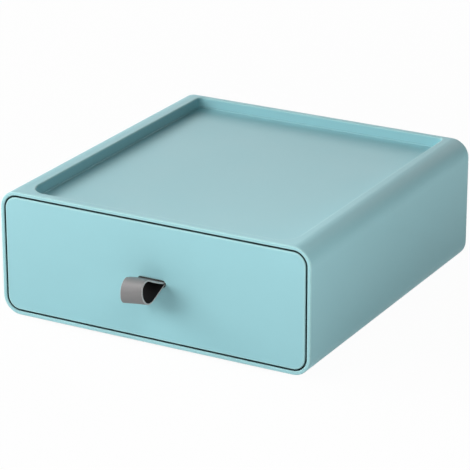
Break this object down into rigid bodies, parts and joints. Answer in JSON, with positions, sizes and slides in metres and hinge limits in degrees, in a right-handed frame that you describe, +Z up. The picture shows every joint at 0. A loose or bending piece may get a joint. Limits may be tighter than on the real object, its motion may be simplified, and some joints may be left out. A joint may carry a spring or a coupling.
{
  "type": "stackable drawer box",
  "caption": "Desktop storage box with a shallow drawer behind a flush rounded front, a strap loop pull and a sunk tray top that holds the box stacked above.",
  "frame": {"origin": "centre of the whole footprint, the pull included, on the surface that the foot pads stand on", "axes": "+Z up, out of the stacking tray; +Y from the drawer front to the closed back, so the drawer opens towards -Y; +X to the right as one faces the drawer"},
  "size_m": [0.185, 0.212, 0.0723],
  "materials": {
    "case_plastic": "satin moulded plastic, pale teal",
    "drawer_plastic": "satin moulded plastic, pale teal",
    "strap_leather": "smooth grey coated leather-look strap, pale cut edges",
    "clamp_plastic": "satin moulded plastic",
    "screw_steel": "bright zinc plated",
    "pad_rubber": "dull, fine grained"
  },
  "bodies": {
    "case": {"case_shell": "case_plastic", "foot_pad_front_left": "pad_rubber", "foot_pad_front_right": "pad_rubber", "foot_pad_rear_left": "pad_rubber", "foot_pad_rear_right": "pad_rubber"},
    "drawer": {"drawer_tub": "drawer_plastic", "drawer_front": "drawer_plastic", "drawer_front_screws": "screw_steel", "pull_strap": "strap_leather", "strap_clamp": "clamp_plastic", "strap_clamp_screws": "screw_steel"}
  },
  "joints": [
    {"name": "drawer_slide", "type": "slide", "parent": "case", "child": "drawer", "axis": [0, -1, 0], "range_m": [0, 0.15]}
  ]
}
